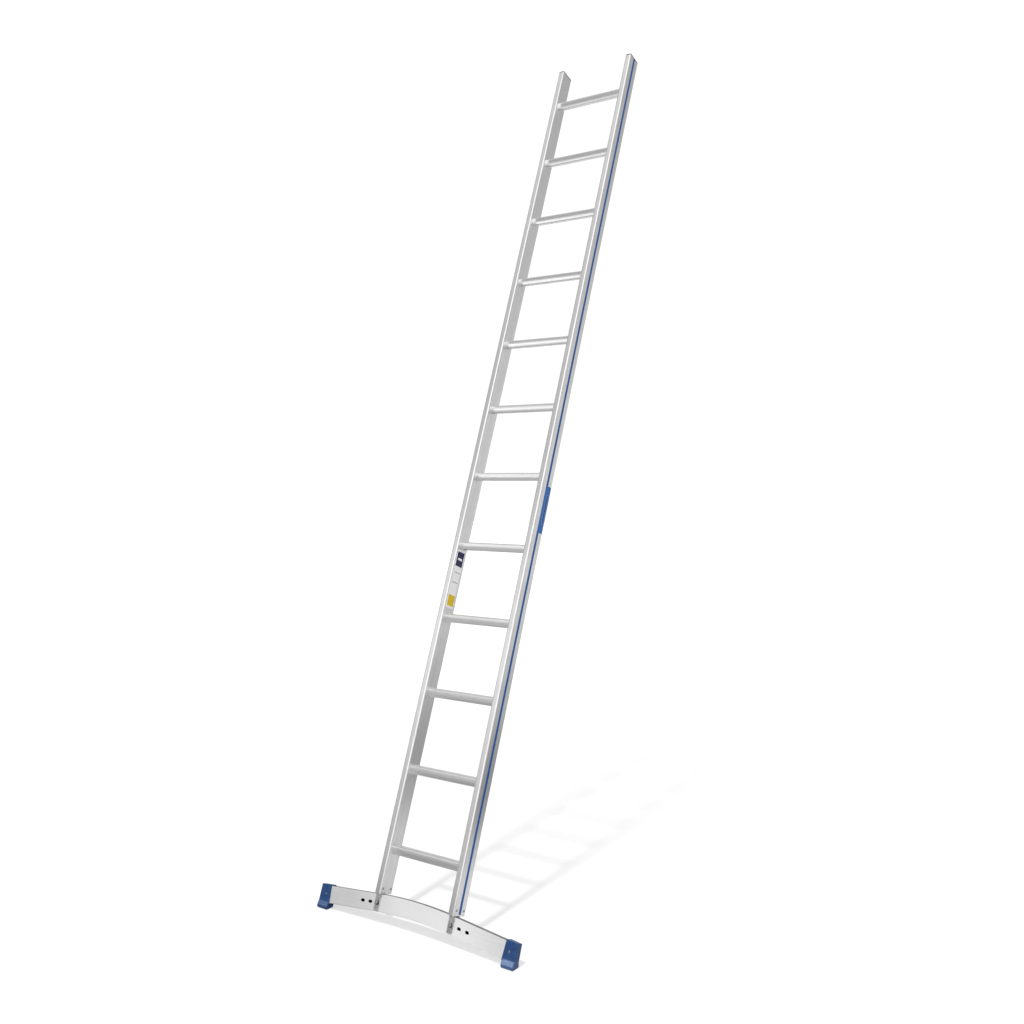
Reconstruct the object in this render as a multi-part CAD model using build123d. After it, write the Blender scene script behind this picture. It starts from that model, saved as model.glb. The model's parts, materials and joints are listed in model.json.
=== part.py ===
from build123d import *
import math
import os

# A single section aluminium ladder, leaning as it is used.
# Every piece is drawn in the ladder's own frame: X runs across, Y from the front faces of the stiles
# to the back, and Z up the stiles, with the lowest rung's centre line at Z = 0.
# The right-hand pieces are drawn, the left-hand ones are their mirror images,
# and at the end the whole ladder is leaned back onto the floor.
# All sizes are in millimetres and all angles in degrees.

# The ladder as a whole
LEAN = 70.0  # angle between the stiles and the floor
RUNG_COUNT = 12
RUNG_PITCH = 280.0
OUTER_WIDTH = 350.0  # over both stiles
STILE_BELOW = 152.0  # from the lowest rung's centre to the stiles' bottom ends
STILE_ABOVE = 155.0  # from the highest rung's centre to the stiles' top ends

# Stiles: box sections with the long side from front to back
STILE_WIDTH = 25.0
STILE_DEPTH = 66.0
STILE_CORNER = 6.0
STILE_WALL = 1.6

# Rungs: rounded box sections, swaged into the stiles' inner walls and turned so that they tread level
RUNG_HEIGHT = 30.0
RUNG_DEPTH = 27.0
RUNG_CROWN = 2.3  # how far the middle of the front and back stands out past their upper and lower ends
RUNG_CORNER = 3.5
RUNG_WALL = 1.5
RUNG_FIT = 0.1  # play between a rung and its hole
FLUTE_COUNT = 4  # grip flutes on the tread and on the underside
FLUTE_PITCH = 2.8
FLUTE_RADIUS = 0.6
BEAD_PROUD = 0.6  # swaged bead in front of the wall
BEAD_LENGTH = 1.5
BEAD_ROUND = 0.4
FLARE_PROUD = 2.0  # swaged flare behind the wall
FLARE_LENGTH = 1.5

# Coloured strip let into the outer face of each stile
STRIPE_WIDTH = 12.5
STRIPE_THICKNESS = 0.5
STRIPE_START = 5.0  # bare metal below the strip
STRIPE_FIT = 0.1

# Plugs in the top ends of the stiles
PLUG_FLANGE = 4.5
PLUG_ROUND = 1.0
PLUG_SKIRT = 24.0
PLUG_WALL = 2.0
PLUG_FIT = 0.15

# Stabiliser bar: a box section, arched between the stiles and straight beyond them
BAR_SPAN = 851.0  # between the middles of its two ends
BAR_HEIGHT = 60.0
BAR_THICKNESS = 22.0
BAR_CORNER = 2.5
BAR_WALL = 1.8
BAR_FRONT = 15.0  # from the stiles' front faces to the bar's front
BAR_SLOPE = 5.5  # fall of the straight ends
BAR_GAP = 0.5  # between the bar and the inner edges of the stiles' ends
SLOT_COUNT = 3  # on each side, the first one under the stile
SLOT_PITCH = 34.5
SLOT_LENGTH = 17.5
SLOT_HEIGHT = 10.0

# Shoes: castings riveted into the stiles, with two legs that straddle the bar
SHOE_FIT = 0.2
SHOE_GRIP = 42.0  # length inside the stile
SHOE_WALL = 3.0
SHOE_FLOOR = 8.0
LEG_THICKNESS = 4.0
LEG_FIT = 0.2
LEG_DROP = 26.2  # from the bolt to the leg's lower end
LEG_CORNER = 6.0
RECESS_LENGTH = 9.0  # sunk mark on the front leg, below the bolt
RECESS_HEIGHT = 4.0
RECESS_DEPTH = 1.2
RECESS_DROP = 16.0

# Blind rivets
RIVET_HEAD_DIAMETER = 8.8
RIVET_HEAD_HEIGHT = 2.0
RIVET_SHANK_DIAMETER = 4.8
RIVET_TAIL = 2.0  # beyond the last wall
RIVET_FIT = 0.05
SHOE_RIVET_INSET = 12.5  # from the stile's front and back faces
SHOE_RIVET_RISE = 17.5  # above the stile's end

# Bolts that clamp the shoes to the bar
BOLT_DIAMETER = 8.0
BOLT_HEAD_HEIGHT = 5.3
BOLT_END = 3.0  # thread beyond the nut
HEX_ACROSS_FLATS = 13.0
HEX_CHAMFER = 0.7
NUT_HEIGHT = 8.0
THREAD_FIT = 0.05
WASHER_DIAMETER = 16.0
WASHER_THICKNESS = 1.6
WASHER_FIT = 0.2

# Feet: moulded caps on the bar's ends, each with a boot whose sole is level with the floor
CAP_GRIP = 42.0  # length of bar inside the cap
CAP_FIT = 0.3
CAP_WALL = 3.0
CAP_CORNER = 3.0
CAP_ROUND = 1.8
BOOT_LAP = 7.0  # how far the boot reaches up over the bar's end
BOOT_HEEL = 16.5  # height of the upright heel
BOOT_TOE = 12.0  # height of the upright toe, below its sloping facet
BOOT_REACH = 9.6  # how far the toe stands out in front of the facet's top
BOOT_ROUND = 3.0
HEEL_ROUND = 7.0
TOE_ROUND = 6.0
TREAD_COUNT = 4  # grooves under the sole, an even number so that a rib is in the middle
TREAD_PITCH = 5.2
TREAD_WIDTH = 2.2
TREAD_DEPTH = 1.4

# Adhesive labels
LABEL_THICKNESS = 0.3
LABEL_CORNER = 2.0
INFO_LABEL_RUNG = 4  # rung below the label, counted from the bottom
INFO_LABEL_ABOVE = 36.0  # from the middle of that rung to the label's bottom edge
INFO_LABEL_BELOW = 20.0  # from the label's top edge to the middle of the next rung
INFO_LABEL_FRONT = 10.0  # bare metal in front of the label
INFO_LABEL_BACK = 14.0  # bare metal behind the label
SIDE_LABEL_RUNG = 5  # rung below the label
SIDE_LABEL_ABOVE = 66.0  # from the middle of that rung to the label's bottom edge
SIDE_LABEL_HEIGHT = 179.0
SIDE_LABEL_WIDTH = 33.0
SIDE_LABEL_BACK = 5.5  # bare metal behind the label

# Sizes that follow from those above
STILE_X = (OUTER_WIDTH - STILE_WIDTH) / 2
INNER_X = OUTER_WIDTH / 2 - STILE_WIDTH
OUTER_X = OUTER_WIDTH / 2
MIDDLE_Y = STILE_DEPTH / 2
STILE_LENGTH = STILE_BELOW + (RUNG_COUNT - 1) * RUNG_PITCH + STILE_ABOVE
STILE_TOP = STILE_LENGTH - STILE_BELOW
CUT = 1.0  # how far a cutting shape reaches past the face it cuts

SLOPE_COS = math.cos(math.radians(BAR_SLOPE))
SLOPE_SIN = math.sin(math.radians(BAR_SLOPE))
ARCH_RADIUS = STILE_X / SLOPE_SIN  # of the bar's centre line, which straightens under each stile
ARCH_TOP_RADIUS = ARCH_RADIUS + BAR_HEIGHT / 2
ARCH_SAG = ARCH_TOP_RADIUS - math.sqrt(ARCH_TOP_RADIUS**2 - INNER_X**2)
CROWN_Z = -STILE_BELOW - BAR_GAP + ARCH_SAG - BAR_HEIGHT / 2
BOLT_Z = CROWN_Z - ARCH_RADIUS * (1 - SLOPE_COS)
BAR_MIDDLE = BAR_FRONT + BAR_THICKNESS / 2
BAR_BACK = BAR_FRONT + BAR_THICKNESS
BAR_RUN = (BAR_SPAN / 2 - STILE_X) / SLOPE_COS

LEG_FRONT = BAR_FRONT - LEG_FIT - LEG_THICKNESS
LEG_BACK = BAR_BACK + LEG_FIT + LEG_THICKNESS
LEG_TOP = SHOE_FLOOR - STILE_BELOW  # inside the floor of the shoe, which hides the legs' upper rounding
LEG_HEIGHT = LEG_TOP - BOLT_Z + LEG_DROP
SHOE_WIDTH = STILE_WIDTH - 2 * (STILE_WALL + SHOE_FIT)
SHOE_DEPTH = STILE_DEPTH - 2 * (STILE_WALL + SHOE_FIT)
SHOE_CORNER = STILE_CORNER - STILE_WALL - SHOE_FIT
RIVET_HOLE_DIAMETER = RIVET_SHANK_DIAMETER + 2 * RIVET_FIT

CAP_HALF_HEIGHT = BAR_HEIGHT / 2 + CAP_FIT + CAP_WALL
CAP_HALF_DEPTH = BAR_THICKNESS / 2 + CAP_FIT + CAP_WALL
CAP_FRONT = BAR_MIDDLE - CAP_HALF_DEPTH
CAP_BACK = BAR_MIDDLE + CAP_HALF_DEPTH


def along_bar(distance, up=0.0):
    """X and Z of a point on the bar's straight run, measured outward from the stile's bolt."""
    x = STILE_X + distance * SLOPE_COS + up * SLOPE_SIN
    z = BOLT_Z - distance * SLOPE_SIN + up * SLOPE_COS
    return x, z


# The floor, seen from the leaning ladder
TILT_COS = math.cos(math.radians(90 - LEAN))
TILT_SIN = math.sin(math.radians(90 - LEAN))
UPWARD = Vector(0, -TILT_SIN, TILT_COS)
BACKWARD = Vector(0, TILT_COS, TILT_SIN)
BOOT_TOP = along_bar(BAR_RUN)[1] - BAR_HEIGHT / 2 + BOOT_LAP
BOOT_DEPTH = 2 * CAP_HALF_DEPTH * TILT_COS + BOOT_REACH
HEEL_TOP = Vector(0, CAP_BACK, BOOT_TOP)
FLOOR = Plane(
    origin=HEEL_TOP - UPWARD * BOOT_HEEL - BACKWARD * (BOOT_DEPTH / 2), x_dir=(1, 0, 0), z_dir=UPWARD
)
FOOT_OUTER_X = along_bar(BAR_RUN, BAR_HEIGHT / 2)[0] + CAP_FIT + CAP_WALL
FOOT_INNER_X = along_bar(BAR_RUN - CAP_GRIP)[0]
BOOT_LENGTH = FOOT_OUTER_X - FOOT_INNER_X


def level(x, y, z):
    """Plane square to the stiles, looking up them."""
    return Plane((x, y, z), x_dir=(1, 0, 0), z_dir=(0, 0, 1))


def facing_right(x, y, z):
    """Plane square to the rungs: its own axes are Y and Z."""
    return Plane((x, y, z), x_dir=(0, 1, 0), z_dir=(1, 0, 0))


def facing_left(x, y, z):
    return Plane((x, y, z), x_dir=(0, 1, 0), z_dir=(-1, 0, 0))


def facing_back(x, y, z, slope=0.0):
    """Plane square to the bolts, turned to the bar's slope if asked."""
    angle = math.radians(slope)
    return Plane((x, y, z), x_dir=(math.cos(angle), 0, -math.sin(angle)), z_dir=(0, 1, 0))


def mirrored(piece):
    return mirror(piece, about=Plane.YZ)


def both(piece):
    """A right-hand fastener and its mirror image, as two separate solids."""
    return [piece, mirrored(piece)]


def round_rod(diameter, plane, length):
    return extrude(plane * Circle(diameter / 2), length)


def hollow_section(width, height, corner, wall):
    inside = RectangleRounded(width - 2 * wall, height - 2 * wall, corner - wall)
    return RectangleRounded(width, height, corner) - inside


def across(x, z, direction=1):
    """Plane square to the rungs, whose own X axis runs level from front to back."""
    return Plane((x, MIDDLE_Y, z), x_dir=BACKWARD, z_dir=(direction, 0, 0))


def rung_outline(grow=0.0):
    """A rung's section, flat above and below and crowned in front and behind, grown evenly all round."""
    side_x = RUNG_DEPTH / 2
    end_x = side_x - RUNG_CROWN
    top = RUNG_HEIGHT / 2
    front = ThreePointArc((-end_x, top), (-side_x, 0), (-end_x, -top))
    back = ThreePointArc((end_x, -top), (side_x, 0), (end_x, top))
    outline = make_face(front + Line(front @ 1, back @ 0) + back + Line(back @ 1, front @ 0))
    outline = fillet(outline.vertices(), RUNG_CORNER)
    return offset(outline, grow) if grow else outline


def shoe_rivet_places():
    """Y and Z of the rivets on one face of a stile."""
    z = SHOE_RIVET_RISE - STILE_BELOW
    return [(SHOE_RIVET_INSET, z), (STILE_DEPTH - SHOE_RIVET_INSET, z)]


def shoe_rivet_holes():
    """Cutters for the rivets, right through a stile and the shoe inside it."""
    return [
        round_rod(RIVET_HOLE_DIAMETER, facing_right(INNER_X - CUT, y, z), STILE_WIDTH + 2 * CUT)
        for y, z in shoe_rivet_places()
    ]


def make_stile():
    section = hollow_section(STILE_WIDTH, STILE_DEPTH, STILE_CORNER, STILE_WALL)
    stile = extrude(level(STILE_X, MIDDLE_Y, -STILE_BELOW) * section, STILE_LENGTH)
    rung_holes = [
        extrude(across(INNER_X - CUT, number * RUNG_PITCH) * rung_outline(RUNG_FIT), STILE_WALL + 2 * CUT)
        for number in range(RUNG_COUNT)
    ]
    groove = extrude(
        facing_right(OUTER_X - STRIPE_THICKNESS, MIDDLE_Y, STILE_TOP - STILE_LENGTH / 2)
        * Rectangle(STRIPE_WIDTH, STILE_LENGTH + 2 * CUT),
        STRIPE_THICKNESS + CUT,
    )
    return stile - rung_holes - groove - shoe_rivet_holes()


def make_stripe():
    length = STILE_LENGTH - STRIPE_START
    plane = facing_right(OUTER_X - STRIPE_THICKNESS, MIDDLE_Y, STILE_TOP - length / 2)
    return extrude(plane * Rectangle(STRIPE_WIDTH - 2 * STRIPE_FIT, length), STRIPE_THICKNESS)


def make_rung():
    """The lowest rung: a fluted tube with a bead and a flare at each end."""
    half = INNER_X + STILE_WALL + FLARE_LENGTH
    flute_rows = GridLocations(FLUTE_PITCH, RUNG_HEIGHT, FLUTE_COUNT, 2)
    flutes = flute_rows * Circle(FLUTE_RADIUS)
    rung = extrude(across(-half, 0) * (rung_outline() - flutes), 2 * half)
    bead = extrude(across(INNER_X, 0, -1) * rung_outline(BEAD_PROUD), BEAD_LENGTH)
    bead = fillet(bead.faces().sort_by(Axis.X)[0].edges(), BEAD_ROUND)
    flare = extrude(across(half, 0, -1) * rung_outline(FLARE_PROUD), FLARE_LENGTH)
    bore = extrude(across(-half - CUT, 0) * rung_outline(-RUNG_WALL), 2 * (half + CUT))
    return rung + both(bead) + both(flare) - bore


def make_top_plug():
    inset = STILE_WALL + PLUG_FIT
    skirt_section = hollow_section(
        STILE_WIDTH - 2 * inset, STILE_DEPTH - 2 * inset, STILE_CORNER - inset, PLUG_WALL
    )
    skirt = extrude(level(STILE_X, MIDDLE_Y, STILE_TOP - PLUG_SKIRT) * skirt_section, PLUG_SKIRT)
    outline = RectangleRounded(STILE_WIDTH, STILE_DEPTH, STILE_CORNER)
    flange = extrude(level(STILE_X, MIDDLE_Y, STILE_TOP) * outline, PLUG_FLANGE)
    flange = fillet(flange.faces().sort_by(Axis.Z)[-1].edges(), PLUG_ROUND)
    return flange + skirt


def make_shoe():
    bottom = level(STILE_X, MIDDLE_Y, -STILE_BELOW)
    block = extrude(bottom * RectangleRounded(SHOE_WIDTH, SHOE_DEPTH, SHOE_CORNER), SHOE_GRIP)
    pocket_section = RectangleRounded(
        SHOE_WIDTH - 2 * SHOE_WALL, SHOE_DEPTH - 2 * SHOE_WALL, SHOE_CORNER - SHOE_WALL
    )
    pocket = extrude(bottom.offset(SHOE_FLOOR) * pocket_section, SHOE_GRIP)
    leg_outline = RectangleRounded(SHOE_WIDTH, LEG_HEIGHT, LEG_CORNER)
    legs = [
        extrude(facing_back(STILE_X, y, LEG_TOP - LEG_HEIGHT / 2) * leg_outline, LEG_THICKNESS)
        for y in (LEG_FRONT, BAR_BACK + LEG_FIT)
    ]
    bolt_hole = round_rod(
        SLOT_HEIGHT, facing_back(STILE_X, LEG_FRONT - CUT, BOLT_Z), LEG_BACK - LEG_FRONT + 2 * CUT
    )
    recess_plane = facing_back(STILE_X, LEG_FRONT - CUT, BOLT_Z - RECESS_DROP)
    recess = extrude(recess_plane * SlotOverall(RECESS_LENGTH, RECESS_HEIGHT), RECESS_DEPTH + CUT)
    return block - pocket + legs - bolt_hole - recess - shoe_rivet_holes()


def make_rivet(wall, plane):
    """Dome-headed blind rivet whose head sits on the plane, on the side that the plane faces."""
    head_radius = RIVET_HEAD_DIAMETER / 2
    shank_radius = RIVET_SHANK_DIAMETER / 2
    tip = wall + RIVET_TAIL
    dome_radius = (head_radius**2 + RIVET_HEAD_HEIGHT**2) / (2 * RIVET_HEAD_HEIGHT)
    dome_angle = math.degrees(math.asin(head_radius / dome_radius))
    dome = CenterArc((0, RIVET_HEAD_HEIGHT - dome_radius), dome_radius, 90 - dome_angle, dome_angle)
    axis_line = [(0, RIVET_HEAD_HEIGHT), (0, -tip)]
    shank_line = [(shank_radius, -tip), (shank_radius, 0), (head_radius, 0)]
    stem = Polyline(*axis_line, *shank_line)
    return plane * revolve(Plane.XZ * make_face(dome + stem), Axis.Z)


def make_shoe_rivets():
    wall = STILE_WALL + SHOE_FIT + SHOE_WALL
    outside = [make_rivet(wall, facing_right(OUTER_X, y, z)) for y, z in shoe_rivet_places()]
    inside = [make_rivet(wall, facing_left(INNER_X, y, z)) for y, z in shoe_rivet_places()]
    return [rivet for right in outside + inside for rivet in both(right)]


def foot_pin_place():
    return along_bar(BAR_RUN - CAP_GRIP / 2)


def make_bar():
    half_span, end_z = along_bar(BAR_RUN)
    arch = CenterArc((0, CROWN_Z - ARCH_RADIUS), ARCH_RADIUS, 90 - BAR_SLOPE, 2 * BAR_SLOPE)
    left_run = Line((-half_span, end_z), (-STILE_X, BOLT_Z))
    right_run = Line((STILE_X, BOLT_Z), (half_span, end_z))
    path = Wire(Plane.XZ.offset(-BAR_MIDDLE) * edge for edge in (left_run, arch, right_run))
    start = Plane(path @ 0, x_dir=(0, 1, 0), z_dir=path % 0)
    outside = sweep(start * RectangleRounded(BAR_THICKNESS, BAR_HEIGHT, BAR_CORNER), path)
    hollow = RectangleRounded(
        BAR_THICKNESS - 2 * BAR_WALL, BAR_HEIGHT - 2 * BAR_WALL, BAR_CORNER - BAR_WALL
    )
    inside = sweep(start * hollow, path)
    slots = []
    for number in range(SLOT_COUNT):
        x, z = along_bar(number * SLOT_PITCH)
        slot = SlotOverall(SLOT_LENGTH, SLOT_HEIGHT)
        cutter = extrude(facing_back(x, BAR_FRONT - CUT, z, BAR_SLOPE) * slot, BAR_THICKNESS + 2 * CUT)
        slots.extend(both(cutter))
    x, z = foot_pin_place()
    pin_hole = round_rod(RIVET_HOLE_DIAMETER, facing_back(x, BAR_FRONT - CUT, z), BAR_WALL + 2 * CUT)
    return outside - inside - slots - both(pin_hole)


def make_cap():
    """Block round the bar's end: its inner end is square to the bar and its outer end is upright."""
    inner = BAR_RUN - CAP_GRIP
    top_inner = along_bar(inner, CAP_HALF_HEIGHT)
    low_inner = along_bar(inner, -CAP_HALF_HEIGHT)
    slope = SLOPE_SIN / SLOPE_COS
    top_outer = (FOOT_OUTER_X, top_inner[1] - (FOOT_OUTER_X - top_inner[0]) * slope)
    low_outer = (FOOT_OUTER_X, low_inner[1] - (FOOT_OUTER_X - low_inner[0]) * slope)
    outline = make_face(Polyline(low_inner, low_outer, top_outer, top_inner, close=True))
    cap = extrude(Plane.XZ.offset(-CAP_BACK) * outline, 2 * CAP_HALF_DEPTH)
    standing_edges = cap.edges().filter_by(lambda edge: abs(edge.tangent_at(0.5).Z) > SLOPE_COS / 2)
    cap = fillet(standing_edges, CAP_CORNER)
    return fillet(cap.faces().sort_by(Axis.Z)[-1].edges(), CAP_ROUND)


def on_floor(back, up):
    """Y and Z in the ladder's frame of a point given by its place on the floor and its height."""
    point = FLOOR.origin + BACKWARD * back + UPWARD * up
    return point.Y, point.Z


def make_boot():
    """Sole block: level underneath, upright at heel and toe, with a facet from the toe up to the cap."""
    toe = -BOOT_DEPTH / 2
    heel = BOOT_DEPTH / 2
    # The first and last corners are inside the cap's walls, so that the boot's rounding ends in them.
    corners = [
        (CAP_FRONT + CAP_WALL, BOOT_TOP + CAP_WALL),
        (CAP_FRONT, BOOT_TOP),
        on_floor(toe, BOOT_TOE),
        on_floor(toe, 0),
        on_floor(heel, 0),
        (CAP_BACK, BOOT_TOP),
        (CAP_BACK - CAP_WALL, BOOT_TOP + CAP_WALL),
    ]
    radii = [0, 0, BOOT_ROUND, TOE_ROUND, HEEL_ROUND, 0, 0]
    outline = make_face(FilletPolyline(*corners, radius=radii, close=True))
    inner_side = facing_right(FOOT_INNER_X, 0, 0)
    boot = extrude(inner_side * outline, BOOT_LENGTH)
    sides = boot.faces().sort_by(Axis.X)
    boot = fillet(sides[0].edges() + sides[-1].edges(), BOOT_ROUND)
    tread_rows = GridLocations(0, TREAD_PITCH, 1, TREAD_COUNT)
    tread_lines = Sketch() + tread_rows * Rectangle(BOOT_LENGTH + 2 * CUT, TREAD_WIDTH)
    below_middle = Pos(FOOT_INNER_X + BOOT_LENGTH / 2, 0, -CUT)
    return boot - extrude(FLOOR * below_middle * tread_lines, CUT + TREAD_DEPTH, dir=FLOOR.z_dir)


def make_foot():
    end_x, end_z = along_bar(BAR_RUN)
    bar_end = Plane((end_x, BAR_MIDDLE, end_z), x_dir=(0, 1, 0), z_dir=(SLOPE_COS, 0, -SLOPE_SIN))
    socket_outline = RectangleRounded(
        BAR_THICKNESS + 2 * CAP_FIT, BAR_HEIGHT + 2 * CAP_FIT, BAR_CORNER + CAP_FIT
    )
    socket = extrude(bar_end.offset(-CAP_GRIP - CUT) * socket_outline, CAP_GRIP + CUT + CAP_FIT)
    x, z = foot_pin_place()
    pin_hole = round_rod(RIVET_HOLE_DIAMETER, facing_back(x, CAP_FRONT - CUT, z), CAP_WALL + 2 * CUT)
    return make_cap() + make_boot() - socket - pin_hole


def make_foot_pins():
    x, z = foot_pin_place()
    front = Plane((x, CAP_FRONT, z), x_dir=(1, 0, 0), z_dir=(0, -1, 0))
    return both(make_rivet(CAP_WALL + CAP_FIT + BAR_WALL, front))


def make_hexagon(plane, height):
    """Hexagon prism whose corners are turned off on the face away from the plane."""
    corner_radius = HEX_ACROSS_FLATS / math.sqrt(3)
    prism = extrude(plane * RegularPolygon(corner_radius, 6), height)
    disc = extrude(plane * Circle(corner_radius), height)
    far_face = disc.faces().sort_by(Axis(plane.origin, plane.z_dir))[-1]
    return prism & chamfer(far_face.edges(), HEX_CHAMFER)


def make_bolt():
    seat = Plane((STILE_X, LEG_FRONT - WASHER_THICKNESS, BOLT_Z), x_dir=(1, 0, 0), z_dir=(0, -1, 0))
    tip = LEG_BACK + WASHER_THICKNESS + NUT_HEIGHT + BOLT_END
    shank = round_rod(BOLT_DIAMETER, facing_back(STILE_X, seat.origin.Y, BOLT_Z), tip - seat.origin.Y)
    return make_hexagon(seat, BOLT_HEAD_HEIGHT) + shank


def make_nut():
    seat = facing_back(STILE_X, LEG_BACK + WASHER_THICKNESS, BOLT_Z)
    bore = round_rod(BOLT_DIAMETER + 2 * THREAD_FIT, seat.offset(-CUT), NUT_HEIGHT + 2 * CUT)
    return make_hexagon(seat, NUT_HEIGHT) - bore


def make_washers():
    ring = Circle(WASHER_DIAMETER / 2) - Circle(BOLT_DIAMETER / 2 + WASHER_FIT)
    front = extrude(facing_back(STILE_X, LEG_FRONT - WASHER_THICKNESS, BOLT_Z) * ring, WASHER_THICKNESS)
    back = extrude(facing_back(STILE_X, LEG_BACK, BOLT_Z) * ring, WASHER_THICKNESS)
    return both(front) + both(back)


def make_info_label():
    """On the inner face of the left stile, between two rungs."""
    height = RUNG_PITCH - INFO_LABEL_ABOVE - INFO_LABEL_BELOW
    width = STILE_DEPTH - INFO_LABEL_FRONT - INFO_LABEL_BACK
    y = INFO_LABEL_FRONT + width / 2
    z = (INFO_LABEL_RUNG - 1) * RUNG_PITCH + INFO_LABEL_ABOVE + height / 2
    return extrude(
        facing_right(-INNER_X, y, z) * RectangleRounded(width, height, LABEL_CORNER), LABEL_THICKNESS
    )


def make_side_label():
    """On the outer face of the right stile, over the strip and the metal behind it."""
    y = STILE_DEPTH - SIDE_LABEL_BACK - SIDE_LABEL_WIDTH / 2
    z = (SIDE_LABEL_RUNG - 1) * RUNG_PITCH + SIDE_LABEL_ABOVE + SIDE_LABEL_HEIGHT / 2
    outline = RectangleRounded(SIDE_LABEL_WIDTH, SIDE_LABEL_HEIGHT, LABEL_CORNER)
    return extrude(facing_right(OUTER_X, y, z) * outline, LABEL_THICKNESS)


pieces = {
    "stabiliser_bar": make_bar(),
    "stabiliser_bolts": Compound(both(make_bolt())),
    "stabiliser_nuts": Compound(both(make_nut())),
    "stabiliser_washers": Compound(make_washers()),
    "shoe_rivets": Compound(make_shoe_rivets()),
    "foot_pins": Compound(make_foot_pins()),
    "info_label": make_info_label(),
    "side_label": make_side_label(),
}

paired_makers = {
    "stile": make_stile,
    "stripe": make_stripe,
    "top_plug": make_top_plug,
    "shoe": make_shoe,
    "foot": make_foot,
}
for name, maker in paired_makers.items():
    right = maker()
    pieces[f"{name}_right"] = right
    pieces[f"{name}_left"] = mirrored(right)

lowest_rung = make_rung()
for number in range(RUNG_COUNT):
    pieces[f"rung_{number + 1:02d}"] = Pos(0, 0, number * RUNG_PITCH) * lowest_rung

os.makedirs("parts", exist_ok=True)
for name, piece in pieces.items():
    export_step(FLOOR.to_local_coords(piece), f"parts/{name}.step")
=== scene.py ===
# %% [markdown]
# A single section ladder
#
# An aluminium ladder leans back at the angle it is climbed at. Its feet stand on a level floor, and
# an arched bar across the bottom keeps it from tipping sideways.
# The CAD model already holds every size and place. It is loaded first and never moved, and this
# lesson gives its pieces their finishes, makes a few pieces again in finer detail, and lights the
# scene.

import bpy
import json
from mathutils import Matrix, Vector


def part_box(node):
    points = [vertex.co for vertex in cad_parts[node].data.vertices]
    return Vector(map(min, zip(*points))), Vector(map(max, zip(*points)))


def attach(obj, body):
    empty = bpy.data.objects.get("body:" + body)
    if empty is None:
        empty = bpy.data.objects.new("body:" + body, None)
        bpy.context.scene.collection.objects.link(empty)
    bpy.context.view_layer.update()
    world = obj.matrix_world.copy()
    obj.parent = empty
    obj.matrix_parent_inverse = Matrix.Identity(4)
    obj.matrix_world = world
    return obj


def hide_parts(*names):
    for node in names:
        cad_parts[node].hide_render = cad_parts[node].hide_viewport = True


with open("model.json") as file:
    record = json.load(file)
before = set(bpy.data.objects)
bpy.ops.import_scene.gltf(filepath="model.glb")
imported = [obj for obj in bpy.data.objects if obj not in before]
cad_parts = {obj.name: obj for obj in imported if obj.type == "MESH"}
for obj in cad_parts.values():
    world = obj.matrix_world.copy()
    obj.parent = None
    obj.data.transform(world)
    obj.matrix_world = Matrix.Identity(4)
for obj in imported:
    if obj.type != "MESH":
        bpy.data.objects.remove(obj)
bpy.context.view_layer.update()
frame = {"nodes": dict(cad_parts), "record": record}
nodes = frame["nodes"]

# %% [markdown]
# Measure the lean
#
# Patterns on the stiles have to run along the stiles, not straight up. The lowest and the highest
# rung are both level, so the line between their middles runs up the ladder. Measuring it from the
# CAD model keeps this script right if the ladder is ever leaned at another angle.

# %% Lean and rung pitch
import math
from mathutils import Vector

rung_names = sorted(name for name in nodes if name.startswith("rung_"))


def middle(name):
    """The middle of a CAD piece's box."""
    low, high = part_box(name)
    return (low + high) / 2


climb = middle(rung_names[-1]) - middle(rung_names[0])
rung_step = climb / (len(rung_names) - 1)
LEAN = math.atan2(climb.y, climb.z)
FRONT = Vector((0, -math.cos(LEAN), math.sin(LEAN)))
UP = Vector((0, 0, 1))
print("leans back", round(math.degrees(LEAN), 2), "degrees")
print("rungs are", round(rung_step.length, 4), "m apart")

# %% [markdown]
# Helpers for node trees
#
# Finishes, repeated pieces and the sky are all node trees. Clicking them together by hand takes
# long, so one short helper adds a node, sets its choices, and fills each input with either a plain
# value or a link. The others add the nodes for sums and for stretching a range.

# %% Add nodes by name
import bpy


def add(tree, kind, inputs=None, **choices):
    """A new node. A socket given as an input is linked, anything else becomes the input's value."""
    node = tree.nodes.new(kind)
    for name, value in choices.items():
        setattr(node, name, value)
    for key, value in (inputs or {}).items():
        if isinstance(value, bpy.types.NodeSocket):
            tree.links.new(value, node.inputs[key])
        else:
            node.inputs[key].default_value = value
    return node


def calculate(tree, operation, first, second=0.0, third=0.0):
    """The result of one Math node."""
    inputs = {0: first, 1: second, 2: third}
    return add(tree, "ShaderNodeMath", inputs, operation=operation).outputs[0]


def product(tree, first, *others):
    """All the values multiplied."""
    for other in others:
        first = calculate(tree, "MULTIPLY", first, other)
    return first


def rescale(tree, value, old_low, old_high, new_low=0.0, new_high=1.0, smooth=False):
    """Stretches a value from one range to another, and stops it at the ends."""
    ends = {"From Min": old_low, "From Max": old_high, "To Min": new_low, "To Max": new_high}
    curve = "SMOOTHSTEP" if smooth else "LINEAR"
    inputs = {"Value": value, **ends}
    return add(tree, "ShaderNodeMapRange", inputs, interpolation_type=curve).outputs[0]


print("helpers ready: add, calculate, product, rescale")

# %% [markdown]
# Starting a finish
#
# Every finish here is a Principled surface whose pattern is fixed to the piece by its Object
# coordinates. A Mapping node of the Texture kind moves and turns the pattern onto a piece, so a
# stile's pattern can stand in the middle of the stile and lean back with it.

# %% Start a finish, and make noise in it
finishes = {}


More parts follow.
